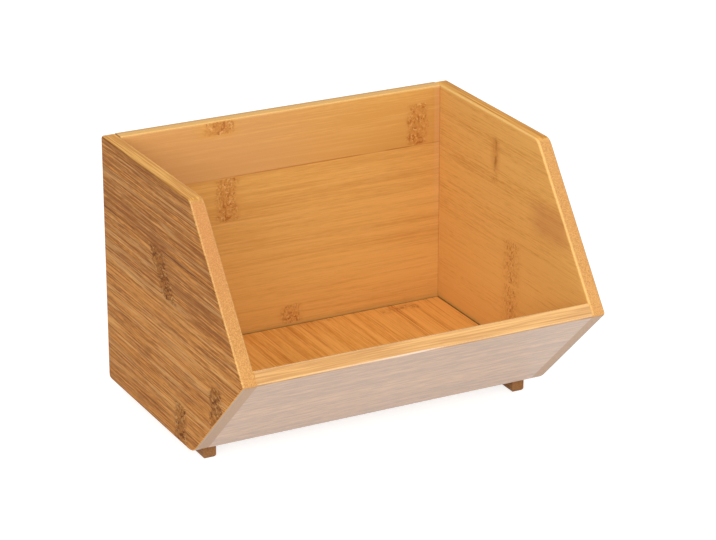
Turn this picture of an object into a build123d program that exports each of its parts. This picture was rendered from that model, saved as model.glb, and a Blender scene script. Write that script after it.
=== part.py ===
from build123d import *

import os
from math import atan2, cos, hypot, sin, tan

# Open-front potato bin for the kitchen, made of bamboo boards so that bins stack.
# Millimetres, +Z up, +Y towards the back, +X to the right of someone facing the open front.
# The origin lies on the ground, under the middle of the bin's outline.

# ---------------------------------------------------------------- driving dimensions

width = 260.0  # over the outside faces of the two side panels
depth = 215.0  # from the back face to the nose of the side panels
side_height = 174.0  # of a side panel, from its bottom edge to its top edge
nose_height = 75.5  # of the nose, above a side panel's bottom edge
top_length = 140.5  # of a side panel's top edge, to its unrounded front corner
bottom_length = 136.5  # of a side panel's bottom edge, to its unrounded front corner

side_board = 10.0  # board thicknesses
back_board = 10.0
front_board = 10.0
floor_board = 10.0

floor_level = 17.0  # top of the floor, above the side panels' bottom edge
floor_gap = 1.0  # open joint around the floor, at the sides and the back
front_rise = 2.8  # lower edge of the front panel, above the side panels' bottom edge
back_rise = 2.5  # lower edge of the back panel, above the side panels' bottom edge

rail_drop = 9.5  # how far a foot rail stands out below the side panels
rail_width = 9.0
rail_setback = 5.5  # rail's front end, behind the side panels' bottom front corner
stack_clearance = 0.4  # rail to the inside of the bin below, at its sides and its back

top_back_radius = 2.5  # corners of a side panel, seen from the side
top_front_radius = 8.0
nose_radius = 2.0
bottom_front_radius = 17.0
bottom_back_radius = 3.5
edge_ease = 1.5  # softened arrises of the boards
rail_ease = 2.6  # softened arrises of the foot rails

dowel_radius = 2.5  # dowels that join the boards
dowel_in_side = 6.5  # length held by a side panel
dowel_in_end = 15.5  # length held by the end grain of the board it carries
rail_dowel_radius = 2.0  # dowels that join the rails to the floor
rail_dowel_in_floor = 6.5
rail_dowel_in_rail = 8.0
dowel_bevel = 0.6
dowel_end_gap = 1.0  # room for glue past a dowel's inner end
dowel_margin = 23.0  # first and last dowel of a row, from the ends of its board
dowels_per_joint = 3

# ---------------------------------------------------------------- places worked out from them

back_y = depth / 2
nose_y = back_y - depth
side_base = rail_drop
side_top = side_base + side_height
nose_z = side_base + nose_height
top_front_y = back_y - top_length
bottom_front_y = back_y - bottom_length

inner_x = width / 2 - side_board  # inside face of a side panel
inner_back_y = back_y - back_board

# The front panel lies along the side panels' undercut edge, and its rim along their upper slope.
lean = atan2(nose_height, depth - bottom_length)
slope = atan2(side_height - nose_height, depth - top_length)
rim_width = front_board / sin(lean + slope)
level_cut = front_board / sin(lean)
front_base = side_base + front_rise
front_toe_y = bottom_front_y - front_rise / tan(lean)
front_heel_y = front_toe_y + level_cut
front_length = hypot(front_toe_y - nose_y, nose_z - front_base)

floor_top = side_base + floor_level
floor_base = floor_top - floor_board
floor_back_y = inner_back_y - floor_gap
floor_x = inner_x - floor_gap


def inside_front_y(z):
    """Where the front panel's inside face is at height z."""
    return front_heel_y - (z - front_base) / tan(lean)


rail_x = inner_x - stack_clearance  # outside face of a foot rail
rail_back_y = inner_back_y - stack_clearance
rail_front_y = bottom_front_y + rail_setback


def spread(first, last, count):
    """Evenly spaced places from first to last."""
    return [first + (last - first) * step / (count - 1) for step in range(count)]


# Rows of dowels, as places in the YZ plane.
back_row = [
    (back_y - back_board / 2, z)
    for z in spread(side_base + back_rise + dowel_margin, side_top - dowel_margin, dowels_per_joint)
]
front_row = [
    (
        front_toe_y - along * cos(lean) + front_board / 2 * sin(lean),
        front_base + along * sin(lean) + front_board / 2 * cos(lean),
    )
    for along in spread(dowel_margin, front_length - dowel_margin, dowels_per_joint)
]
floor_row = [
    (y, floor_top - floor_board / 2)
    for y in spread(
        inside_front_y(floor_base) + dowel_margin, floor_back_y - dowel_margin, dowels_per_joint
    )
]
rows = {"back": back_row, "front": front_row, "bottom": floor_row}
# The rails' dowels stand midway between the floor's, so that they pass one another.
rail_row = [(here[0] + there[0]) / 2 for here, there in zip(floor_row, floor_row[1:])]

sides = {"left": -1, "right": 1}


def joint_planes(x, row, facing):
    """Hole mouths at the face x for a row of dowels, looking along +X or -X."""
    return [Plane(origin=(x, y, z), z_dir=(facing, 0, 0)) for y, z in row]


def rail_planes(hand, z, facing):
    """Hole mouths at height z for a rail's row of dowels, looking up or down."""
    x = hand * (rail_x - rail_width / 2)
    return [Plane(origin=(x, y, z), z_dir=(0, 0, facing)) for y in rail_row]


def finish(piece, name):
    """Label a finished piece and write it out."""
    piece.part.label = name
    export_step(piece.part, f"parts/{name}.step")


# ---------------------------------------------------------------- back and front, seen from the side

with BuildSketch(Plane.YZ) as back_section:
    with BuildLine():
        Polyline(
            (back_y, side_base + back_rise),
            (back_y, side_top),
            (inner_back_y, side_top),
            (inner_back_y, side_base + back_rise),
            close=True,
        )
    make_face()
    fillet(back_section.vertices(), edge_ease)

with BuildSketch(Plane.YZ) as front_section:
    with BuildLine():
        Polyline(
            (nose_y, nose_z),
            (nose_y + rim_width * cos(slope), nose_z + rim_width * sin(slope)),
            (front_heel_y, front_base),
            (front_toe_y, front_base),
            close=True,
        )
    make_face()
    fillet(front_section.vertices(), edge_ease)

# ---------------------------------------------------------------- side panels

side_corners = {
    (back_y, side_base): bottom_back_radius,
    (back_y, side_top): top_back_radius,
    (top_front_y, side_top): top_front_radius,
    (nose_y, nose_z): nose_radius,
    (bottom_front_y, side_base): bottom_front_radius,
}

for name, hand in sides.items():
    with BuildPart() as side_panel:
        with BuildSketch(Plane.YZ.offset(hand * (width - side_board) / 2)) as outline:
            with BuildLine():
                Polyline(*side_corners, close=True)
            make_face()
            for corner, radius in side_corners.items():
                fillet(outline.vertices().sort_by_distance(corner)[0], radius)
        extrude(amount=side_board / 2, both=True)
        faces_out_and_in = side_panel.faces().filter_by(Axis.X)
        fillet(faces_out_and_in.edges(), edge_ease)
        # The boards are sanded flush after gluing: no softened arris where another board lies.
        # Each patch starts inside the wood and is drawn out to the board's inner face.
        for section in (back_section, front_section):
            with BuildSketch(Plane.YZ.offset(hand * (inner_x + 2 * edge_ease))):
                add(section.sketch_local)
                add(outline.sketch_local, mode=Mode.INTERSECT)
            extrude(amount=-hand * 2 * edge_ease)
        for row in rows.values():
            with Locations(*joint_planes(hand * inner_x, row, -hand)):
                Hole(dowel_radius, dowel_in_side)
    finish(side_panel, f"{name}_side_panel")

# ---------------------------------------------------------------- back, front and floor

with BuildPart() as back_panel:
    with BuildSketch(Plane.YZ):
        add(back_section.sketch_local)
    extrude(amount=inner_x, both=True)
    for hand in sides.values():
        with Locations(*joint_planes(hand * inner_x, back_row, hand)):
            Hole(dowel_radius, dowel_in_end + dowel_end_gap)
finish(back_panel, "back_panel")

with BuildPart() as front_panel:
    with BuildSketch(Plane.YZ):
        add(front_section.sketch_local)
    extrude(amount=inner_x, both=True)
    for hand in sides.values():
        with Locations(*joint_planes(hand * inner_x, front_row, hand)):
            Hole(dowel_radius, dowel_in_end + dowel_end_gap)
finish(front_panel, "front_panel")

with BuildPart() as bottom_panel:
    with BuildSketch(Plane.YZ):
        with BuildLine():
            Polyline(
                (floor_back_y, floor_base),
                (floor_back_y, floor_top),
                (inside_front_y(floor_top), floor_top),
                (inside_front_y(floor_base), floor_base),
                close=True,
            )
        make_face()
    extrude(amount=floor_x, both=True)
    for hand in sides.values():
        with Locations(*joint_planes(hand * floor_x, floor_row, hand)):
            Hole(dowel_radius, dowel_in_end - floor_gap + dowel_end_gap)
        with Locations(*rail_planes(hand, floor_base, -1)):
            Hole(rail_dowel_radius, rail_dowel_in_floor)
finish(bottom_panel, "bottom_panel")

# ---------------------------------------------------------------- foot rails

for name, hand in sides.items():
    with BuildPart() as foot_rail:
        with BuildSketch(Plane.YZ.offset(hand * (rail_x - rail_width / 2))):
            with BuildLine():
                Polyline(
                    (rail_front_y, 0),
                    (rail_back_y, 0),
                    (rail_back_y, floor_base),
                    (inside_front_y(floor_base), floor_base),
                    (front_heel_y, front_base),
                    (rail_front_y, front_base),
                    close=True,
                )
            make_face()
        extrude(amount=rail_width / 2, both=True)
        fillet(foot_rail.faces().sort_by(Axis.Z)[0].edges(), rail_ease)
        with Locations(*rail_planes(hand, floor_base, 1)):
            Hole(rail_dowel_radius, rail_dowel_in_rail + dowel_end_gap)
    finish(foot_rail, f"{name}_foot_rail")

# ---------------------------------------------------------------- dowels

for name, hand in sides.items():
    for board, row in rows.items():
        with BuildPart() as dowels:
            with Locations(*joint_planes(hand * (inner_x + dowel_in_side), row, -hand)):
                Cylinder(
                    dowel_radius,
                    dowel_in_side + dowel_in_end,
                    align=(Align.CENTER, Align.CENTER, Align.MIN),
                )
            chamfer(dowels.edges().filter_by(GeomType.CIRCLE), dowel_bevel)
        finish(dowels, f"{name}_{board}_dowels")

    with BuildPart() as rail_dowels:
        with Locations(*rail_planes(hand, floor_base + rail_dowel_in_floor, -1)):
            Cylinder(
                rail_dowel_radius,
                rail_dowel_in_floor + rail_dowel_in_rail,
                align=(Align.CENTER, Align.CENTER, Align.MIN),
            )
        chamfer(rail_dowels.edges().filter_by(GeomType.CIRCLE), dowel_bevel)
    finish(rail_dowels, f"{name}_rail_dowels")
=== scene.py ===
# %% [markdown]
# # A bamboo potato bin, dressed
#
# The bin is seven pieces of bamboo joined by hidden dowels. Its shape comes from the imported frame,
# and this lesson gives it what makes bamboo look like bamboo: fibres, staves, rings, pale sawn edges
# and a satin lacquer. Lengths in the shaders are millimetres, because that is how a board is read.

from collections import namedtuple
from math import cos, radians, sin

import bpy
import numpy as np
from mathutils import Matrix, Vector


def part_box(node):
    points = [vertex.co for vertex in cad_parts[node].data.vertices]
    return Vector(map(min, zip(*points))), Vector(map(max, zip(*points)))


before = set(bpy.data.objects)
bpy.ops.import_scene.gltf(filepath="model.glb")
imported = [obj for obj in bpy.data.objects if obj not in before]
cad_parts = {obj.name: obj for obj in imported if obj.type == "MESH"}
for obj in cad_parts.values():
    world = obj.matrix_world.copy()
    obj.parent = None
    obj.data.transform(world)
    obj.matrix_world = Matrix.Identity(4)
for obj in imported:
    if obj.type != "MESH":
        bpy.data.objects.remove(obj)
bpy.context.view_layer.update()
print("nodes:", len(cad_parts))

# %% [markdown]
# ## Where the boards are
#
# A pattern belongs to a board, so each board is described by three directions of its own: along the
# grain, across it, and through the board towards its outer face. The front board leans, and its
# directions come from its largest flat face.

# %% Measure the boards
TO_MM = 1000.0
LEFT, RIGHT = Vector((-1, 0, 0)), Vector((1, 0, 0))
FRONT, BACK = Vector((0, -1, 0)), Vector((0, 1, 0))
DOWN, UP = Vector((0, 0, -1)), Vector((0, 0, 1))

Board = namedtuple("Board", "grain across through middle")


def broad_normal(node):
    """The direction of a node's largest flat face."""
    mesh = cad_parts[node].data
    count = len(mesh.polygons)
    areas, normals = np.empty(count), np.empty(count * 3)
    mesh.polygons.foreach_get("area", areas)
    mesh.polygons.foreach_get("normal", normals)
    return Vector(normals.reshape(count, 3)[areas.argmax()])


def board(node, grain, across, through):
    """A board's directions, and how far through it its middle lies, in millimetres."""
    low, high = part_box(node)
    middle = (Vector(low) + Vector(high)) / 2 * TO_MM
    return Board(grain, across, through, middle.dot(through))


front_normal = broad_normal("front_panel")
if front_normal.z > 0:
    front_normal = -front_normal
front_slope = front_normal.cross(RIGHT)
left_board = board("left_side_panel", BACK, UP, LEFT)
right_board = board("right_side_panel", BACK, UP, RIGHT)
back_board = board("back_panel", RIGHT, UP, BACK)
front_board = board("front_panel", RIGHT, front_slope, front_normal)
floor_board = board("bottom_panel", BACK, RIGHT, DOWN)
print("front board looks along", [round(v, 3) for v in front_normal])
print("and its slope runs along", [round(v, 3) for v in front_slope])

# %% [markdown]
# ## Shader sums written as sums
#
# A material is a graph of nodes, and a graph written node by node is hard to read. A small class
# wraps one socket, so that `1 - mask * 0.5` adds its own Math nodes. Everything that isn't a sum
# comes from its `node` method, which takes a node's type, its settings and its inputs.

# %% The socket class
class Wire:
    """One output socket in a material's tree. Sums on it add Math nodes."""

    def __init__(self, tree, socket=None):
        self.tree = tree
        self.socket = socket

    def node(self, kind, settings=None, inputs=None, output=0):
        """Adds a node: its settings first, then the values or links of its sockets."""
        made = self.tree.nodes.new(kind)
        for name, value in (settings or {}).items():
            setattr(made, name, value)
        for name, value in (inputs or {}).items():
            if isinstance(value, Wire):
                self.tree.links.new(value.socket, made.inputs[name])
            else:
                made.inputs[name].default_value = value
        return Wire(self.tree, made.outputs[output] if made.outputs else None)

    def math(self, operation, *others, first=None):
        """A Math node with this wire as its first term, or its second where `first` is given."""
        terms = (self,) + others if first is None else (first, self)
        return self.node("ShaderNodeMath", {"operation": operation}, dict(enumerate(terms)))

    def __add__(self, other):
        return self.math("ADD", other)

    def __radd__(self, other):
        return self.math("ADD", other)

    def __sub__(self, other):
        return self.math("SUBTRACT", other)

    def __rsub__(self, other):
        return self.math("SUBTRACT", first=other)

    def __mul__(self, other):
        return self.math("MULTIPLY", other)

    def __rmul__(self, other):
        return self.math("MULTIPLY", other)

    def __abs__(self):
        return self.math("ABSOLUTE")


print("wires can be added, subtracted and multiplied, and have an absolute value")

# %% [markdown]
# ## Masks and colours
#
# A mask is a number from 0 to 1 that says where something shows. Almost every mask here is a smooth
# step on some measure: a place on the board, a noise, or how squarely a face looks one way. The Mix
# node has a set of sockets for each kind of value, so its colour sockets go by number.

# %% Masks and colours
MIX_FACTOR, MIX_UNDER, MIX_OVER, MIX_RESULT = 0, 6, 7, 2
DOT_RESULT = 1
CARD_FULL = 255
SRGB_KNEE, SRGB_SLOPE, SRGB_LIFT, SRGB_POWER = 0.04045, 12.92, 0.055, 2.4


def rise(value, start, end):
    """0 below start, 1 above end, and a smooth step between them."""
    ends = {"Value": value, "From Min": start, "From Max": end}
    return value.node("ShaderNodeMapRange", {"interpolation_type": "SMOOTHSTEP"}, ends)


def within(value, low, high, soft):
    """1 between low and high, 0 outside, with edges as wide as soft."""
    return rise(value, low - soft, low + soft) * (1 - rise(value, high - soft, high + soft))


def at_least(mask, least):
    """Lifts a mask so that it runs from least to 1."""
    return least + (1 - least) * mask


def blend(factor, under, over):
    """A colour mix: under where the factor is 0, over where it is 1."""
    colours = {MIX_FACTOR: factor, MIX_UNDER: under, MIX_OVER: over}
    return factor.node("ShaderNodeMix", {"data_type": "RGBA"}, colours, MIX_RESULT)


def along(point, direction):
    """How far a vector reaches in a direction."""
    terms = {0: point, 1: tuple(direction)}
    return point.node("ShaderNodeVectorMath", {"operation": "DOT_PRODUCT"}, terms, DOT_RESULT)


def paint(red, green, blue):
    """A colour as a paint card gives it, 0 to 255, turned into the light values that shaders use."""
    card = np.array([red, green, blue]) / CARD_FULL
    curved = ((card + SRGB_LIFT) / (1 + SRGB_LIFT)) ** SRGB_POWER
    light = np.where(card <= SRGB_KNEE, card / SRGB_SLOPE, curved)
    return (*light.tolist(), 1.0)


print("a mid tan is", [round(v, 3) for v in paint(210, 150, 90)])

# %% [markdown]
# ## Fibres
#
# Bamboo has no rings of growth. It is a bundle of straight fibres, so its pattern is the same all
# along a board and changes fast across it. A noise that is squeezed across the grain and drawn out
# along it gives that on every face at once: streaks on a face, and specks on a sawn end. Where such a
# noise crosses its middle value there is a thin line, which makes a single fibre.

# %% Fibre streaks
NOISE_MIDDLE = 0.5
THREAD_CORE = 0.3

Pattern = namedtuple("Pattern", "wide long detail low high")


def streaks(place, wide, long, detail=2.0, curl=0.0):
    """Noise from 0 to 1 whose spots are about `wide` mm across the grain and `long` mm along it."""
    u, v, w = place
    squeezed = {0: u * (1 / long), 1: v * (1 / wide), 2: w * (1 / wide)}
    vector = u.node("ShaderNodeCombineXYZ", None, squeezed)
    look = {"Vector": vector, "Scale": 1.0, "Detail": detail, "Distortion": curl}
    return u.node("ShaderNodeTexNoise", None, look)


def patches(place, pattern):
    """A mask cut from streaks: 0 where they are under the pattern's low, 1 above its high."""
    noise = streaks(place, pattern.wide, pattern.long, pattern.detail)
    return rise(noise, pattern.low, pattern.high)


def threads(noise, reach):
    """1 on the thin lines where a noise crosses its middle value, 0 elsewhere."""
    return 1 - rise(abs(noise - NOISE_MIDDLE), reach * THREAD_CORE, reach)


FINE = {"wide": 0.9, "long": 42.0, "detail": 3.0}
MIDDLE = {"wide": 3.2, "long": 140.0, "detail": 2.0}
BROAD = {"wide": 13.0, "long": 200.0, "detail": 1.0}
FLECKS = {"wide": 0.8, "long": 9.0, "detail": 2.0}
print("the finest fibres are", FINE["wide"], "mm wide and", FINE["long"], "mm long")

# %% [markdown]
# ## Staves
#
# A board is glued up from staves. Each comes from another stalk, so its tone and its fibres change
# at the glue line, which shows as a thin dark line that comes and goes. The staves could be pieces of
# their own, but a real board is sanded flush, so steps in the tone of one board show them truly.

# %% Staves and glue lines
STAVE_SOFT = 0.3
GLUE_HALF_WIDTH, GLUE_CORE = 0.55, 0.4
GLUE_BREAKS = Pattern(30.0, 25.0, 2.0, 0.38, 0.58)
GLUE_LEAST = 0.35

Seam = namedtuple("Seam", "at strength")


def stave_number(across, seams):
    """Counts the seams that lie below a point, which numbers the staves 0, 1, 2 ..."""
    count = across * 0.0
    for seam in seams:
        count = count + across.math("GREATER_THAN", seam.at)
    return count


def stave_tone(across, seams, tones):
    """Each stave's own tone, from 0 for dark to 1 for pale."""
    tone = across * 0.0 + tones[0]
    for seam, below, above in zip(seams, tones, tones[1:]):
        tone = tone + rise(across, seam.at - STAVE_SOFT, seam.at + STAVE_SOFT) * (above - below)
    return tone


def glue_lines(across, seams):
    """As strong as each seam on its glue line, 0 elsewhere."""
    line = across * 0.0
    for seam in seams:
        off_line = rise(abs(across - seam.at), GLUE_HALF_WIDTH * GLUE_CORE, GLUE_HALF_WIDTH)
        line = line + (1 - off_line) * seam.strength
    return line


print("a glue line is", 2 * GLUE_HALF_WIDTH, "mm wide at its foot")

# %% [markdown]
# ## Rings
#
# A stalk has a ring wherever it had a partition, and the stave sawn from it carries that ring as a
# short band: the fibres swerve, and show as small curls, dark dots and pale dots. An image texture
# could carry them, but noise stays sharp at any size and needs no map. Each ring is placed in one
# stave. Its reach is how far it fades along the grain, and its lean is how far it moves along the
# grain for each millimetre across.

# %% Ring bands
RING_WANDER = 7.0
RING_BENDS = {"wide": 60.0, "long": 8.0, "detail": 1.0}
RING_MARGIN = 0.8
RING_START, RING_FULL = 0.05, 0.60
RING_PATCHES = Pattern(5.0, 5.0, 1.0, 0.42, 0.54)
RING_PATCHES_LEAST = 0.5
CURL_WIDE, CURL_LONG, CURL_TWIST, CURL_REACH = 4.0, 2.2, 1.6, 0.10
CURL_STRENGTH = 0.6
DARK_DOTS = Pattern(2.8, 1.7, 1.0, 0.54, 0.62)
PALE_DOTS = Pattern(1.8, 2.2, 1.0, 0.56, 0.66)
DARK_DOTS_SHIFT, PALE_DOTS_SHIFT = 31.0, 47.0

Ring = namedtuple("Ring", "at low high reach depth lean", defaults=(0.0,))


def ring_band(place, ring):
    """Rises from 0 to the ring's depth at its middle, in the one stave from low to high."""
    u, v, w = place
    wander = streaks((v, u, w), **RING_BENDS) * RING_WANDER - RING_WANDER / 2
    in_stave = within(v, ring.low + RING_MARGIN, ring.high - RING_MARGIN, RING_MARGIN)
    leaning = (v - (ring.low + ring.high) / 2) * ring.lean
    return (1 - rise(abs(u + wander - leaning - ring.at), 0.0, ring.reach)) * in_stave * ring.depth


def all_bands(place, rings):
    """The bands of a board's rings, added up."""
    band = place[0] * 0.0
    for ring in rings:
        band = band + ring_band(place, ring)
    return band


def ring_marks(place, band, size):
    """The curls and dots of the rings, as a dark and a pale mask. Size stretches them along the grain."""
    u, v, w = place
    shown = rise(band, RING_START, RING_FULL)
    patchy = at_least(patches(place, RING_PATCHES), RING_PATCHES_LEAST)
    curls = threads(streaks(place, CURL_WIDE, CURL_LONG * size, 1.0, CURL_TWIST), CURL_REACH)
    dots = patches((u, v + DARK_DOTS_SHIFT, w), DARK_DOTS._replace(long=DARK_DOTS.long * size))
    pale_dots = patches((u + PALE_DOTS_SHIFT, v, w), PALE_DOTS._replace(long=PALE_DOTS.long * size))
    dark = (curls * CURL_STRENGTH).math("MAXIMUM", dots) * shown * patchy
    return dark, pale_dots * shown * patchy


print("a ring wanders up to", RING_WANDER / 2, "mm to either side")

# %% [markdown]
# ## The fibres of one board
#
# Fine, middling and broad streaks make the body of the bamboo. Over them lie single dark fibres,
# which come in groups, single pale ones, and short flecks. Each stave reads them from a place of its
# own, so that they stop at the glue line, and near a ring they swerve.

# %% The fibres of one board
STAVE_STEP_ALONG, STAVE_STEP_ACROSS = 61.0, 3.7
SWERVES = {"wide": 9.0, "long": 7.0, "detail": 1.0}
SWERVE_REACH = 12.0
DARK_THREADS = Pattern(1.0, 80.0, 2.0, 0.51, 0.63)
THREAD_GROUPS = Pattern(8.0, 110.0, 1.0, 0.40, 0.60)
GROUPS_SHIFT = 50.0
UNGROUPED_LEAST = 0.25
PALE_THREADS = {"wide": 2.6, "long": 150.0, "detail": 1.0}
PALE_SHIFT, PALE_REACH, PALE_LOST_IN_GROUPS = 17.0, 0.07, 0.6
BROAD_SHARE = 0.24

Fibres = namedtuple("Fibres", "fine middle broad flecks dark pale")


def grow_fibres(place, seams, band):
    """All the fibre patterns of a board."""
    u, v, w = place
    swerve = (streaks(place, **SWERVES) - NOISE_MIDDLE) * band * SWERVE_REACH
    number = stave_number(v, seams)
    own = (u + number * STAVE_STEP_ALONG, v + number * STAVE_STEP_ACROSS + swerve, w)
    grouped = patches((u, v + GROUPS_SHIFT, w), THREAD_GROUPS)
    dark = patches(own, DARK_THREADS) * at_least(grouped, UNGROUPED_LEAST)
    pale = threads(streaks((u, v + swerve + PALE_SHIFT, w), **PALE_THREADS), PALE_REACH)
    pale = pale * (1 - PALE_LOST_IN_GROUPS * grouped)
    body = (streaks(own, **kind) for kind in (FINE, MIDDLE, BROAD, FLECKS))
    return Fibres(*body, dark, pale)


def fibre_face(fibres, tone, look):
    """The colour of a broad face: a soft mix of two tones, with single darker and paler fibres."""
    middle_share = 1 - BROAD_SHARE - look["fine"]
    level = fibres.fine * look["fine"] + fibres.middle * middle_share + fibres.broad * BROAD_SHARE
    level = level + (fibres.flecks - NOISE_MIDDLE) * look["flecks"]
    face = blend(rise(level + tone, look["low"], look["high"]), look["dark"], look["pale"])
    face = blend(fibres.dark * look["threads"], face, look["thread"])
    return blend(fibres.pale * look["glints"], face, look["glint"])


print("fine and middle streaks share", round(1 - BROAD_SHARE, 2), "of a face's tone")

# %% [markdown]
# ## Faces, edges and arrises
#
# A saw opens the fibres, so a sawn edge is paler than a face, and a sawn end shows its cut fibres as
# fine dots. On the arrises that look up a painted highlight lies as a thin broken line, where the
# lacquer would catch the light. On the outer face only the arrises of the slanted edges get it. None of
# this needs a cut in the mesh, because the normal tells a face, an edge, an end and an arris apart.

# %% Faces, edges and arrises
FINE_ON_EDGE, MIDDLE_ON_EDGE, TONE_ON_EDGE = 0.6, 0.4, 1.5
PORES = {"wide": 0.6, "long": 3.0, "detail": 2.0}
PORE_SQUEEZE = 5.0
PORES_ON_END, FINE_ON_END, TONE_ON_END = 0.7, 0.3, 0.6
EDGE_LOW, EDGE_HIGH = 0.32, 0.68
ARRIS_BREAKS = Pattern(2.5, 12.0, 1.0, 0.44, 0.56)
ARRIS_SQUEEZE_ALONG, ARRIS_SQUEEZE_ACROSS, ARRIS_LEAST = 12.0, 2.0, 0.45
ARRIS_FACING = (0.28, 0.88, 0.12)
SLANTED_FORWARD, LOOKS_UPWARD = (0.1, 0.3), (0.0, 0.1)
HALF_STEP = 0.5


def outer_side(w, board):
    """1 on the outer half of a board's thickness, 0 on the inner half."""
    return rise(w, board.middle, board.middle + HALF_STEP)


def marked_face(face, look, place, band, line):
    """Lays the rings and the glue lines over a face."""
    dark_marks, pale_marks = ring_marks(place, band, look["curl"])
    face = blend(band * look["haze"], face, look["thread"])
    face = blend(dark_marks * look["marks"], face, look["speck"])
    face = blend(pale_marks * look["sparks"], face, look["glint"])
    return blend(line, face, look["speck"])


def sawn_edge(place, fibres, tone, end, look):
    """The colour of a sawn edge: streaks along the grain, and dots where the grain is cut across."""
    u, v, w = place
    level = fibres.fine * FINE_ON_EDGE + fibres.middle * MIDDLE_ON_EDGE + tone * TONE_ON_EDGE
    edge = blend(rise(level, EDGE_LOW, EDGE_HIGH), look["edge_dark"], look["edge_pale"])
    pores = streaks((u * PORE_SQUEEZE, v, w), **PORES)
    level = pores * PORES_ON_END + fibres.fine * FINE_ON_END + tone * TONE_ON_END
    end_face = blend(rise(level, EDGE_LOW, EDGE_HIGH), look["end_dark"], look["end_pale"])
    return blend(end, edge, end_face)


def arris_highlight(place, normal, facing, outside):
    """The painted highlight: a thin broken line on the arrises that look up."""
    u, v, w = place
    squeezed = (u * ARRIS_SQUEEZE_ALONG, v * ARRIS_SQUEEZE_ACROSS, w)
    broken = at_least(patches(squeezed, ARRIS_BREAKS), ARRIS_LEAST)
    slanted = rise(along(normal, FRONT), *SLANTED_FORWARD)
    highlighted = rise(along(normal, UP), *LOOKS_UPWARD) * (1 - outside * (1 - slanted))
    return within(facing, *ARRIS_FACING) * broken * highlighted


print("an edge takes", FINE_ON_EDGE, "of its streaks from the fine fibres")

# %% [markdown]
# ## The lacquer
#
# The bin is finished in satin lacquer. One even gloss would look like plastic, because the fibres
# print through a real coat: it is a little duller over pale fibres and rings, and a small bump raises
# the fibres and sinks the glue lines. A heavier coat lies only where a board asks for it.

# %% The lacquer
GLOSS_FROM_FINE, GLOSS_FROM_RINGS = 0.14, 0.08
FINE_RELIEF, MIDDLE_RELIEF, GLUE_RELIEF, RING_RELIEF = 0.5, 0.3, 0.8, 0.1
BUMP_STRENGTH, BUMP_DEPTH = 0.22, 0.0003
COAT_ROUGHNESS = 0.22


def lacquered(colour, coat, fibres, line, band, look):
    """A colour under satin lacquer, with the relief of the fibres, the glue lines and the rings."""
    roughness = look["gloss"] + fibres.fine * GLOSS_FROM_FINE + band * GLOSS_FROM_RINGS
    height = fibres.fine * FINE_RELIEF + fibres.middle * MIDDLE_RELIEF
    height = height - line * GLUE_RELIEF - band * RING_RELIEF
    relief = {"Strength": BUMP_STRENGTH, "Distance": BUMP_DEPTH, "Height": height}
    bumped = colour.node("ShaderNodeBump", None, relief)
    lacquer = {"Base Color": colour, "Roughness": roughness, "Normal": bumped, "Coat Weight": coat}
    lacquer.update({"Specular IOR Level": look["shine"], "Coat Roughness": COAT_ROUGHNESS})
    return colour.node("ShaderNodeBsdfPrincipled", None, lacquer)


print("the relief is", round(BUMP_DEPTH * TO_MM, 2), "mm deep at full strength")

# %% [markdown]
# ## One board's material
#
# Everything meets here. Which face a point is on is read from its normal: broad faces look through
# the board, sawn edges don't, and the eased arrises lie between. A board can also have details of
# its own. They are a function that gets a spot on the board and lays tints over its colour.

# %% Spots and tints
Spot = namedtuple("Spot", "place u v w normal facing sawn fine")
Tint = namedtuple("Tint", "strength colour")


def lay(tint, mask, under):
    """Lays a tint over a colour where the mask is 1."""
    return blend(mask * tint.strength, under, tint.colour)


print("a spot knows its", ", ".join(Spot._fields))

# %% The bamboo material
SAWN_FACING = (0.55, 0.92)
END_FACING = (0.35, 0.75)
TONE_MIDDLE, TONE_REACH = 0.5, 0.5


def bamboo(name, board, look, outer=None, seams=(), tones=(0.5,), rings=(), details=None):
    """A lacquered bamboo material for a board, with its own look for its outer face."""
    made = bpy.data.materials.new(name)
    made.use_nodes = True
    made.node_tree.nodes.clear()
    start = Wire(made.node_tree)
    place_m = start.node("ShaderNodeTexCoord", output="Object")
    normal = start.node("ShaderNodeTexCoord", output="Normal")
    point = start.node("ShaderNodeVectorMath", {"operation": "SCALE"}, {0: place_m, "Scale": TO_MM})
    place = tuple(along(point, way) for way in (board.grain, board.across, board.through))
    u, v, w = place

    facing = abs(along(normal, board.through))
    sawn = 1 - rise(facing, *SAWN_FACING)
    end = rise(abs(along(normal, board.grain)), *END_FACING)
    outside = outer_side(w, board)
    band = all_bands(place, rings) * (1 - sawn)
    fibres = grow_fibres(place, seams, band)
    tone = (stave_tone(v, seams, tones) - TONE_MIDDLE) * TONE_REACH
    line = glue_lines(v, seams) * at_least(patches(place, GLUE_BREAKS), GLUE_LEAST) * (1 - sawn)

    face = marked_face(fibre_face(fibres, tone, look), look, place, band, line)
    if outer is not None:
        outer_face = marked_face(fibre_face(fibres, tone, outer), outer, place, band, line)
        face = blend(outside, face, outer_face)
    colour = blend(sawn, face, sawn_edge(place, fibres, tone, end, look))
    # painted highlight on the arrises that look up
    colour = blend(arris_highlight(place, normal, facing, outside) * look["arris"], colour, look["glint"])
    coat = look["coat"]
    if details is not None:
        spot = Spot(place, u, v, w, normal, facing, sawn, fibres.fine)
        colour, coat = details(spot, colour, coat)
    surface = lacquered(colour, coat, fibres, line, band, look)
    start.node("ShaderNodeOutputMaterial", None, {"Surface": surface})
    print(name, "has", len(made.node_tree.nodes), "shader nodes")
    return made


print("a face turns to a sawn edge between", SAWN_FACING[1], "and", SAWN_FACING[0])

# %% [markdown]
# ## Looks of the bamboo
#
# Steamed bamboo is golden inside, and the boards here differ: browner and more streaked outside,
# more orange on the floor, and pale where a saw has opened the fibres. A look holds the colours, the
# two noise levels between which the tone rises, how strongly each kind of fibre and mark shows, and
# the lacquer. Each look after the first says only what it changes.

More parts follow.
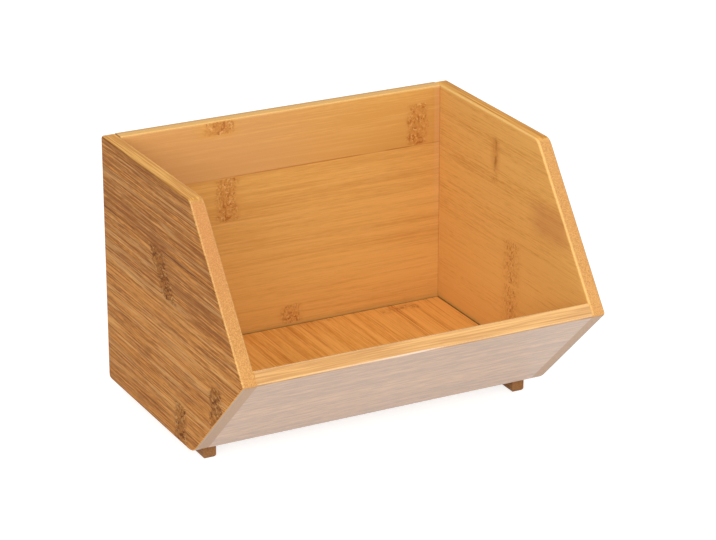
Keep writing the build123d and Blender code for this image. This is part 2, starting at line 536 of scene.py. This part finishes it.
# %% Looks
GOLDEN = {
    "dark": paint(209, 154, 81), "pale": paint(229, 177, 99), "thread": paint(194, 128, 60),
    # glint colours the pale fibres and dots, and also the painted highlight on the arrises
    "glint": paint(244, 200, 132), "speck": paint(170, 102, 44),
    "edge_dark": paint(186, 130, 62), "edge_pale": paint(234, 180, 106),
    "end_dark": paint(184, 128, 70), "end_pale": paint(221, 165, 100),
    "low": 0.32, "high": 0.68, "fine": 0.44, "flecks": 0.30, "threads": 0.08, "glints": 0.10,
    # arris is how strongly the painted highlight on the arrises shows
    "haze": 0.28, "marks": 0.85, "sparks": 0.45, "curl": 1.0, "arris": 0.45,
    "gloss": 0.40, "shine": 0.04, "coat": 0.0,
}
LIVELY = dict(GOLDEN, fine=0.56, threads=0.16, flecks=0.44, low=0.385, high=0.615)
BROWN = dict(GOLDEN, dark=paint(142, 82, 27), pale=paint(202, 136, 64), thread=paint(122, 70, 26),
             glint=paint(230, 182, 116), speck=paint(106, 54, 16), low=0.36, high=0.64, fine=0.64,
             flecks=0.44, threads=0.54, glints=0.36, marks=0.95, sparks=0.34, curl=2.0)
TAWNY = dict(GOLDEN, dark=paint(217, 149, 68), pale=paint(243, 183, 98), thread=paint(180, 100, 36),
             threads=0.55, low=0.36, high=0.64)
HEAVY = dict(GOLDEN, shine=0.5, coat=0.7, gloss=0.30)
HEAVY_OUTER = dict(BROWN, dark=paint(158, 114, 71), pale=paint(194, 146, 96),
                   thread=paint(142, 104, 70), threads=0.14, glints=0.12, fine=0.40)
RAIL_SAWN_DARK, RAIL_SAWN_PALE = paint(134, 92, 56), paint(164, 120, 78)
RAIL = dict(GOLDEN, dark=paint(132, 90, 54), pale=paint(160, 116, 74), arris=0.15,
            edge_dark=RAIL_SAWN_DARK, edge_pale=RAIL_SAWN_PALE,
            end_dark=RAIL_SAWN_DARK, end_pale=RAIL_SAWN_PALE)
DOWEL = dict(GOLDEN, dark=paint(190, 150, 104), pale=paint(222, 186, 138))
print("a look has", len(GOLDEN), "settings")

# %% [markdown]
# ## The edges under the nose
#
# The two edges of the side boards under the nose were lacquered together with the front board, so
# they take the same heavy coat, with a grey rub along their outer arris. The open joint round the
# floor board is darkened with painted shade, which also darkens the faces beside it.

# %% Details that boards share
TOP_FACING = (0.90, 0.97)
SIDE_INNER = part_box("right_side_panel")[0][0] * TO_MM
floor_bottom, floor_top = (corner[2] * TO_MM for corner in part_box("bottom_panel"))
# painted shade in the open joint round the floor board
JOINT_SHADE = Tint(0.85, paint(70, 40, 20))
joint_low, joint_high, joint_soft = floor_bottom + 0.6, floor_top - 0.4, 0.4
NOSE_DARK, NOSE_PALE = paint(150, 116, 84), paint(174, 138, 100)
NOSE_STRENGTH, NOSE_COAT = 0.85, 0.6
NOSE_FACING = (0.80, 0.95)
NOSE_RUB = Tint(0.5, paint(176, 160, 140))
nose_rub_start, nose_rub_end = SIDE_INNER + 7.6, SIDE_INNER + 8.6
inner_face_start, inner_face_end = SIDE_INNER + 0.2, SIDE_INNER + 0.6


def shaded_joint(v, colour):
    """Painted shade in the open joint round the floor board, on the inner faces beside it."""
    return lay(JOINT_SHADE, within(v, joint_low, joint_high, joint_soft), colour)


def side_board_details(spot, colour, coat):
    """Painted shade beside the floor, and the heavy coat on the edges that look down and forward."""
    inner_face = 1 - rise(spot.w, inner_face_start, inner_face_end)
    # painted shade on the inner faces beside the floor
    colour = blend(inner_face, colour, shaded_joint(spot.v, colour))
    under = rise(along(spot.normal, front_normal), *NOSE_FACING) * spot.sawn
    colour = blend(under * NOSE_STRENGTH, colour, blend(spot.fine, NOSE_DARK, NOSE_PALE))
    colour = lay(NOSE_RUB, under * rise(spot.w, nose_rub_start, nose_rub_end), colour)
    return colour, coat + under * NOSE_COAT


print("the joint's painted_shade lies from", round(joint_low, 1), "to", round(joint_high, 1), "mm up")

# %% [markdown]
# ## Side boards
#
# Both side boards are six staves high. Their inner faces are golden and their outer faces are brown
# and streaky. Their top edges are the most golden part of the bin, partly by their own tone and partly
# by painted light from above. The left board has a brown line of painted shade under its top arris,
# and its slanted edge is pinker towards the top. These are tints laid on one board's own material,
# because a second mesh over the wood would only get in the way.

# %% Left side board
LIT_GOLD_LOW, LIT_GOLD_HIGH = 0.38, 0.62
# painted shade: a brown line just under the top arris
LEFT_TOP_SHADE_LINE = Tint(0.35, BROWN["speck"])
left_top_shade_band = (179.6, 183.0, 0.8)
LEFT_SLANT = Tint(0.35, paint(200, 132, 84))
SLANT_FACING = (0.5, 0.8)
left_slant_start, left_slant_end = 95.0, 160.0
# the golden top edge: partly its own tone, partly painted light from above
LEFT_LIT_GOLD_STRENGTH = 0.6
LEFT_LIT_GOLD_DARK, LEFT_LIT_GOLD_PALE = paint(226, 154, 74), paint(255, 196, 108)
left_tones = (0.50, 0.54, 0.53, 0.42, 0.39, 0.42)
left_seams = (Seam(38.0, 0.15), Seam(70.0, 0.15), Seam(102.5, 0.15), Seam(134.7, 1.0), Seam(168.0, 0.20))
left_rings = (Ring(11.0, 102.5, 134.7, 15.0, 1.6, 0.67), Ring(-12.0, 9.5, 38.0, 13.0, 1.2),
              Ring(-67.0, 38.0, 70.0, 13.0, 1.5))


def left_board_details(spot, colour, coat):
    """A brown line of painted shade under the top arris, a pinker slanted edge, and a golden top edge,
    partly painted light from above.
    """
    colour, coat = side_board_details(spot, colour, coat)
    # painted shade under the top arris
    colour = lay(LEFT_TOP_SHADE_LINE, within(spot.v, *left_top_shade_band) * (1 - spot.sawn), colour)
    slanted = rise(along(spot.normal, FRONT), *SLANT_FACING) * spot.sawn
    colour = lay(LEFT_SLANT, slanted * rise(spot.v, left_slant_start, left_slant_end), colour)
    # the top edge turns golden, partly by painted light from above
    on_top = rise(along(spot.normal, UP), *TOP_FACING)
    lit_gold = blend(rise(spot.fine, LIT_GOLD_LOW, LIT_GOLD_HIGH), LEFT_LIT_GOLD_DARK, LEFT_LIT_GOLD_PALE)
    return blend(on_top * LEFT_LIT_GOLD_STRENGTH, colour, lit_gold), coat


def dress(node, material):
    """Gives a CAD node another material and leaves its shape alone."""
    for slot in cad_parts[node].material_slots:
        slot.material = material
    print(node, "is dressed in", material.name)


left_bamboo = bamboo("left_side_bamboo", left_board, GOLDEN, BROWN, left_seams, left_tones, left_rings,
                     left_board_details)
dress("left_side_panel", left_bamboo)

# %% [markdown]
# The right board shows a dark smear through its upper ring, a dull patch near the front, and part of
# a glue line along its top edge, where two layers of the board meet. Its top edge is paler inside
# and darker outside, and is golden partly by its own tone and partly by painted light from above. It
# has a painted highlight on its inner arris and painted shade on its outer arris.

# %% Right side board: what is placed on it
RING_STAIN = Tint(0.35, GOLDEN["thread"])
SMEAR = Tint(0.5, BROWN["thread"])
stained_height = (147.0, 167.0, 4.0)
stained_length = (16.0, 26.0, 4.0)
smear_length = (19.6, 22.0, 1.8)
SMEAR_BENDS = {"wide": 30.0, "long": 9.0, "detail": 1.0}
SMEAR_WANDER = 5.0
SMEAR_BREAKS = Pattern(9.0, 4.0, 1.0, 0.34, 0.58)
DULL_PATCH = Tint(0.42, paint(184, 120, 72))
dull_length, dull_height = (-75.0, -30.0, 12.0), (118.0, 142.0, 8.0)
# the golden top edge: partly its own tone, partly painted light from above
RIGHT_LIT_GOLD_STRENGTH = 0.75
RIGHT_LIT_GOLD_DARK, RIGHT_LIT_GOLD_PALE = paint(210, 138, 52), paint(242, 172, 76)
PALE_HALF, DARK_HALF = Tint(0.35, paint(255, 190, 92)), Tint(0.16, BROWN["thread"])
half_start, half_end = SIDE_INNER + 4.0, SIDE_INNER + 6.0
LAYER_LINE = Tint(0.5, paint(150, 90, 34))
layer_line_at, layer_line_core, layer_line_reach = 2.9, 0.2, 0.7
layer_line_length = (8.0, 76.0, 8.0)
LOOKING_UP = (0.1, 0.5)
# painted highlight on the inner arris of the top edge, painted shade on its outer arris
INNER_ARRIS_HIGHLIGHT, OUTER_ARRIS_SHADE = Tint(0.4, paint(255, 208, 130)), Tint(0.6, BROWN["dark"])
inner_arris_highlight_band = (SIDE_INNER + 0.3, SIDE_INNER + 1.5, 0.3)
outer_arris_shade_start, outer_arris_shade_end = SIDE_INNER + 8.9, SIDE_INNER + 9.6
right_tones = (0.79, 0.77, 0.71, 0.63, 0.61, 0.64)
right_seams = tuple(Seam(seam.at, 0.10) for seam in left_seams)
right_rings = (Ring(21.0, 134.7, 168.0, 8.0, 0.30), Ring(-3.0, 38.0, 70.0, 20.0, 0.46),
               Ring(-3.0, 70.0, 102.5, 20.0, 0.48))
print("the layers' glue line is", layer_line_length[1] - layer_line_length[0], "mm long")


# %% Right side board
def stained_inner_face(spot, colour):
    """The smear through the upper ring, and the dull patch near the front."""
    inner_face = (1 - spot.sawn) * (1 - outer_side(spot.w, right_board))
    in_ring = within(spot.v, *stained_height) * inner_face
    colour = lay(RING_STAIN, within(spot.u, *stained_length) * in_ring, colour)
    wander = streaks((spot.v, spot.u, spot.w), **SMEAR_BENDS) * SMEAR_WANDER - SMEAR_WANDER / 2
    smear = within(spot.u + wander, *smear_length) * in_ring * patches(spot.place, SMEAR_BREAKS)
    colour = lay(SMEAR, smear, colour)
    dull = within(spot.u, *dull_length) * within(spot.v, *dull_height) * inner_face
    return lay(DULL_PATCH, dull, colour)


def right_board_details(spot, colour, coat):
    """The stains inside, and a golden top edge, partly painted light from above, with its halves, its
    glue line, a painted highlight on the inner arris and painted shade on the outer arris.
    """
    colour, coat = side_board_details(spot, colour, coat)
    colour = stained_inner_face(spot, colour)
    # the top edge turns golden, partly by painted light from above
    on_top = rise(along(spot.normal, UP), *TOP_FACING)
    lit_gold = blend(rise(spot.fine, LIT_GOLD_LOW, LIT_GOLD_HIGH), RIGHT_LIT_GOLD_DARK, RIGHT_LIT_GOLD_PALE)
    colour = blend(on_top * RIGHT_LIT_GOLD_STRENGTH, colour, lit_gold)
    inner_half = 1 - rise(spot.w, half_start, half_end)
    colour = lay(PALE_HALF, on_top * inner_half, colour)
    colour = lay(DARK_HALF, on_top * (1 - inner_half), colour)
    off_line = rise(abs(spot.w - SIDE_INNER - layer_line_at), layer_line_core, layer_line_reach)
    colour = lay(LAYER_LINE, (1 - off_line) * on_top * within(spot.u, *layer_line_length), colour)
    # painted highlight on the inner arris, painted shade on the outer arris
    looking_up = rise(along(spot.normal, UP), *LOOKING_UP)
    colour = lay(INNER_ARRIS_HIGHLIGHT, within(spot.w, *inner_arris_highlight_band) * looking_up, colour)
    outer_arris_shade_mask = rise(spot.w, outer_arris_shade_start, outer_arris_shade_end) * looking_up
    return lay(OUTER_ARRIS_SHADE, outer_arris_shade_mask, colour), coat


right_bamboo = bamboo("right_side_bamboo", right_board, LIVELY, BROWN, right_seams, right_tones,
                      right_rings, right_board_details)
dress("right_side_panel", right_bamboo)

# %% [markdown]
# ## Back board
#
# The back board's upper staves are darker, and one strong glue line parts them from the rest. Its
# top stave is pinker towards the left. The rim has a painted highlight in front and painted shade
# behind, a pale strip is rubbed beside the right corner, and the corner itself is a dark line of
# painted shade.

# %% Back board
inner_skin_start, inner_skin_end = back_board.middle - 4.6, back_board.middle - 4.2
PINKER = Tint(0.4, paint(212, 160, 112))
pinker_start, pinker_end = 142.0, 143.2
pinker_fade_start, pinker_fade_end = -40.0, 80.0
top_ring_length, top_ring_start, top_ring_end = (-64.0, -36.0, 6.0), 170.0, 174.0
PINKER_LOST_IN_RING = 0.8
RIM_FACING = (0.60, 0.80)
# painted highlight over the rim, and painted shade on its back part
RIM_HIGHLIGHT, RIM_SHADE = Tint(0.7, paint(255, 204, 128)), Tint(0.5, paint(150, 112, 76))
rim_shade_start, rim_shade_end = back_board.middle + 0.5, back_board.middle + 3.5
# painted shade makes the dark line in the right corner
RUBBED_STRIP, CORNER_SHADE = Tint(0.25, paint(224, 172, 128)), Tint(0.4, GOLDEN["speck"])
rubbed_length, rubbed_start, rubbed_end = (115.4, 121.0, 0.5), 40.0, 165.0
corner_shade_start, corner_shade_end = 119.1, 119.6
back_tones = (0.67, 0.66, 0.55, 0.48, 0.17, 0.25)
back_seams = (Seam(42.5, 0.08), Seam(77.0, 0.10), Seam(110.0, 0.12), Seam(142.6, 0.75), Seam(173.3, 0.05))
back_rings = (Ring(-49.0, 173.3, 190.0, 14.0, 2.2), Ring(-44.0, 110.0, 142.6, 12.0, 1.1),
              Ring(102.0, 142.6, 173.3, 11.0, 1.4), Ring(3.5, 27.0, 42.5, 14.0, 0.6))


def back_board_details(spot, colour, coat):
    """Painted shade beside the floor, a pinker top, a rim with a painted highlight and painted shade, and
    the marks of the right corner: a pale strip and painted shade.
    """
    inner_skin = 1 - rise(spot.w, inner_skin_start, inner_skin_end)
    colour = blend(inner_skin, colour, shaded_joint(spot.v, colour))
    inner_face = (1 - spot.sawn) * (1 - outer_side(spot.w, back_board))
    in_top_ring = within(spot.u, *top_ring_length) * rise(spot.v, top_ring_start, top_ring_end)
    pinker = rise(spot.v, pinker_start, pinker_end) * inner_face
    pinker = pinker * (1 - rise(spot.u, pinker_fade_start, pinker_fade_end))
    colour = lay(PINKER, pinker * (1 - in_top_ring * PINKER_LOST_IN_RING), colour)
    on_top = rise(along(spot.normal, UP), *RIM_FACING)
    # painted highlight over the rim, then painted shade on its back part
    colour = lay(RIM_HIGHLIGHT, on_top, colour)
    colour = lay(RIM_SHADE, on_top * rise(spot.w, rim_shade_start, rim_shade_end), colour)
    rubbed = within(spot.u, *rubbed_length) * rise(spot.v, rubbed_start, rubbed_end) * inner_face
    colour = lay(RUBBED_STRIP, rubbed, colour)
    # painted shade in the right corner
    return lay(CORNER_SHADE, rise(spot.u, corner_shade_start, corner_shade_end) * inner_face, colour), coat


dress("back_panel", bamboo("back_bamboo", back_board, GOLDEN, BROWN, back_seams, back_tones, back_rings,
                           back_board_details))

# %% [markdown]
# ## Front board
#
# The front board's outer face has a heavy, glossy coat that mirrors the pale room, so it looks grey
# and pale although its wood is brown. Short clouds show in that coat, and part of its top arris
# carries a painted highlight.

# %% Front board
CLOUDS = Pattern(2.6, 14.0, 3.0, 0.42, 0.62)
CLOUD = Tint(0.36, paint(126, 93, 56))
# painted highlight on part of the front board's top arris
FRONT_HIGHLIGHT_COLOUR = paint(246, 240, 236)
FRONT_HIGHLIGHT_FACING, front_highlight_length = (0.30, 0.90, 0.12), (-80.0, 5.0, 12.0)
FRONT_HIGHLIGHT_FORWARD = (0.6, 0.8)
front_highlight_growth_start, front_highlight_growth_end = -70.0, 0.0
FRONT_HIGHLIGHT_LEAST, FRONT_HIGHLIGHT_GROWTH = 0.12, 0.35
front_seams = (Seam(58.0, 0.1), Seam(90.0, 0.1))
front_tones = (0.5, 0.55, 0.45)


def front_board_details(spot, colour, coat):
    """Faint clouds in the outer coat, and a painted highlight along part of the top arris."""
    outer_face = outer_side(spot.w, front_board) * (1 - spot.sawn)
    colour = lay(CLOUD, patches(spot.place, CLOUDS) * outer_face, colour)
    # painted highlight along part of the top arris, brighter towards the right
    front_highlight_mask = within(spot.facing, *FRONT_HIGHLIGHT_FACING) * within(spot.u, *front_highlight_length)
    front_highlight_mask = front_highlight_mask * rise(along(spot.normal, FRONT), *FRONT_HIGHLIGHT_FORWARD)
    brightness = rise(spot.u, front_highlight_growth_start, front_highlight_growth_end) * FRONT_HIGHLIGHT_GROWTH + FRONT_HIGHLIGHT_LEAST
    return blend(front_highlight_mask * brightness, colour, FRONT_HIGHLIGHT_COLOUR), coat


dress("front_panel", bamboo("front_bamboo", front_board, HEAVY, HEAVY_OUTER, front_seams, front_tones,
                            details=front_board_details))

# %% [markdown]
# ## Floor board
#
# The floor runs front to back, in eight staves. Its edges face the open joint and are darkened with
# painted shade, which also lies in a narrow border beside them.

# %% Floor board
floor_side, floor_back = (corner * TO_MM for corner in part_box("bottom_panel")[1][:2])
BORDER_OUT, BORDER_IN = 0.9, 0.3
BORDER_SHARE = 0.7
EDGE_FACING = (0.90, 0.99)
floor_seams = tuple(Seam(at, 0.15) for at in (-95.0, -62.0, -30.0, 2.0, 35.0, 68.0, 100.0))
floor_tones = (0.40, 0.60, 0.50, 0.46, 0.60, 0.64, 0.68, 0.70)
floor_rings = (Ring(89.0, 68.0, 100.0, 9.0, 0.45), Ring(98.0, 2.0, 35.0, 9.0, 0.45))


def floor_board_details(spot, colour, coat):
    """Painted shade on the edges all round, and in a narrow border beside them."""
    # painted shade on the edges in the open joint, and in a narrow border beside them
    behind = rise(spot.u, floor_back - BORDER_OUT, floor_back - BORDER_IN)
    beside = rise(abs(spot.v), floor_side - BORDER_OUT, floor_side - BORDER_IN)
    border = behind.math("MAXIMUM", beside) * BORDER_SHARE
    edge = (1 - rise(spot.facing, *EDGE_FACING)).math("MAXIMUM", border)
    return lay(JOINT_SHADE, edge, colour), coat


dress("bottom_panel", bamboo("bottom_bamboo", floor_board, TAWNY, TAWNY, floor_seams, floor_tones,
                             floor_rings, floor_board_details))

# %% [markdown]
# ## Rails and dowels
#
# The two foot rails are plain brown strips with the grain front to back. The dowels are hidden in
# the joints, and are bare pale wood with the grain from side to side.

# %% Rails and dowels
rail_bamboo = bamboo("foot_rail_bamboo", Board(BACK, RIGHT, UP, 0.0), RAIL)
dowel_wood = bamboo("dowel_wood", Board(RIGHT, UP, BACK, 0.0), DOWEL)
for side in ("left", "right"):
    dress(f"{side}_foot_rail", rail_bamboo)
    for joint in ("back", "front", "bottom", "rail"):
        dress(f"{side}_{joint}_dowels", dowel_wood)

# %% [markdown]
# ## The stage
#
# A pale floor under the bin, and white all round. The floor is part plain white paint, which takes
# the bin's shadow, and part white light for the camera and for reflections.

# %% The floor's sheet
floor_reach = 8.0
tiles_a_side = 8
steps = np.linspace(-floor_reach, floor_reach, tiles_a_side + 1)
across_grid, deep_grid = np.meshgrid(steps, steps)
corners = np.stack([across_grid, deep_grid, np.zeros_like(across_grid)], -1).reshape(-1, 3)
row = tiles_a_side + 1
first = (np.arange(tiles_a_side)[:, None] * row + np.arange(tiles_a_side)[None, :]).ravel()
tiles = np.stack([first, first + 1, first + row + 1, first + row], -1)
floor_mesh = bpy.data.meshes.new("studio_floor")
floor_mesh.from_pydata(corners.tolist(), [], tiles.tolist())
studio_floor = bpy.data.objects.new("studio_floor", floor_mesh)
bpy.context.scene.collection.objects.link(studio_floor)
print("the floor is", 2 * floor_reach, "m wide, in", len(tiles), "tiles")

# %% White floor and white room
OFF_WHITE, WHITE = (0.97, 0.97, 0.97, 1.0), (1.0, 1.0, 1.0, 1.0)
own_light, glow = 0.50, 1.60
sky_level, seen_sky_level = 0.4, 1.0


def seen_rays(start):
    """1 for camera, glossy and transmission rays, 0 for the rays that light the object."""
    camera_rays = start.node("ShaderNodeLightPath", output="Is Camera Ray")
    glossy_rays = start.node("ShaderNodeLightPath", output="Is Glossy Ray")
    transmission_rays = start.node("ShaderNodeLightPath", output="Is Transmission Ray")
    return camera_rays.math("MAXIMUM", glossy_rays).math("MAXIMUM", transmission_rays)


floor_white = bpy.data.materials.new("studio_white")
floor_white.use_nodes = True
floor_white.node_tree.nodes.clear()
sheet = Wire(floor_white.node_tree)
painted = sheet.node("ShaderNodeBsdfDiffuse", None, {"Color": OFF_WHITE})
glowing = sheet.node("ShaderNodeEmission", None, {"Color": WHITE, "Strength": glow})
mixed = sheet.node("ShaderNodeMixShader", None, {0: seen_rays(sheet) * own_light, 1: painted, 2: glowing})
sheet.node("ShaderNodeOutputMaterial", None, {"Surface": mixed})
floor_mesh.materials.append(floor_white)

world = bpy.data.worlds.new("studio")
world.use_nodes = True
world.node_tree.nodes.clear()
bpy.context.scene.world = world
sky = Wire(world.node_tree)
sky_strength = seen_rays(sky) * (seen_sky_level - sky_level) + sky_level
sky_light = sky.node("ShaderNodeBackground", None, {"Color": WHITE, "Strength": sky_strength})
sky.node("ShaderNodeOutputWorld", None, {"Surface": sky_light})
print("the room lights the bin at", sky_level)

# %% [markdown]
# ## Lamps
#
# One wide lamp stands in front and to the left, as in a small product studio. It is low enough to
# reach into the opening and to light the back and the right side board. A weaker lamp in front and
# to the right evens out the back board, and a weak one above keeps the top edges even. The pale
# floor and the white room fill in the rest.

# %% Lamps
LAMP_AIM = Vector((0, 0, 0.08))


def lamp(name, place, watts, wide, high):
    """A flat lamp at a place, turned to the middle of the bin."""
    made = bpy.data.lights.new(name, "AREA")
    made.shape = "RECTANGLE"
    made.energy = watts
    made.size = wide
    made.size_y = high
    obj = bpy.data.objects.new(name, made)
    bpy.context.scene.collection.objects.link(obj)
    obj.location = place
    obj.rotation_euler = (LAMP_AIM - Vector(place)).to_track_quat("-Z", "Y").to_euler()
    print(name, watts, "W")


lamp("front_lamp", place=(-1.30, -1.55, 1.00), watts=35.0, wide=2.4, high=1.1)
lamp("right_lamp", place=(1.1, -1.7, 0.9), watts=9.0, wide=1.6, high=1.0)
lamp("top_lamp", place=(0.2, -0.3, 1.8), watts=7.0, wide=1.4, high=1.4)

# %% [markdown]
# ## The camera
#
# A long lens from the front left, a little above the bin. Its direction is two angles. Its aim is a
# point inside the bin, moved a little to the right and up as the camera sees it, and its distance is
# what the long lens needs.

# %% Camera
turn = radians(-27.48)
tilt = radians(21.48)
distance = 1.9482
lens_pixels, picture_width = 2897.3, 716
inside_the_bin = Vector((0, 0.04247, 0.07453))
aim_to_the_right, aim_up = 0.02397, 0.01165
backward = Vector((sin(turn) * cos(tilt), -cos(turn) * cos(tilt), sin(tilt)))
rightward = Vector((cos(turn), sin(turn), 0))
upward = backward.cross(rightward)
aim = inside_the_bin + aim_to_the_right * rightward + aim_up * upward
camera_data = bpy.data.cameras.new("camera")
camera_data.sensor_width = 36.0
camera_data.sensor_fit = "HORIZONTAL"
camera_data.lens = camera_data.sensor_width * lens_pixels / picture_width
camera = bpy.data.objects.new("camera", camera_data)
stance = Matrix((rightward, upward, backward)).transposed().to_4x4()
camera.matrix_world = Matrix.Translation(aim + distance * backward) @ stance
bpy.context.scene.collection.objects.link(camera)
bpy.context.scene.camera = camera
bpy.context.scene.view_settings.view_transform = "Standard"
print("lens", round(camera_data.lens, 1), "mm")
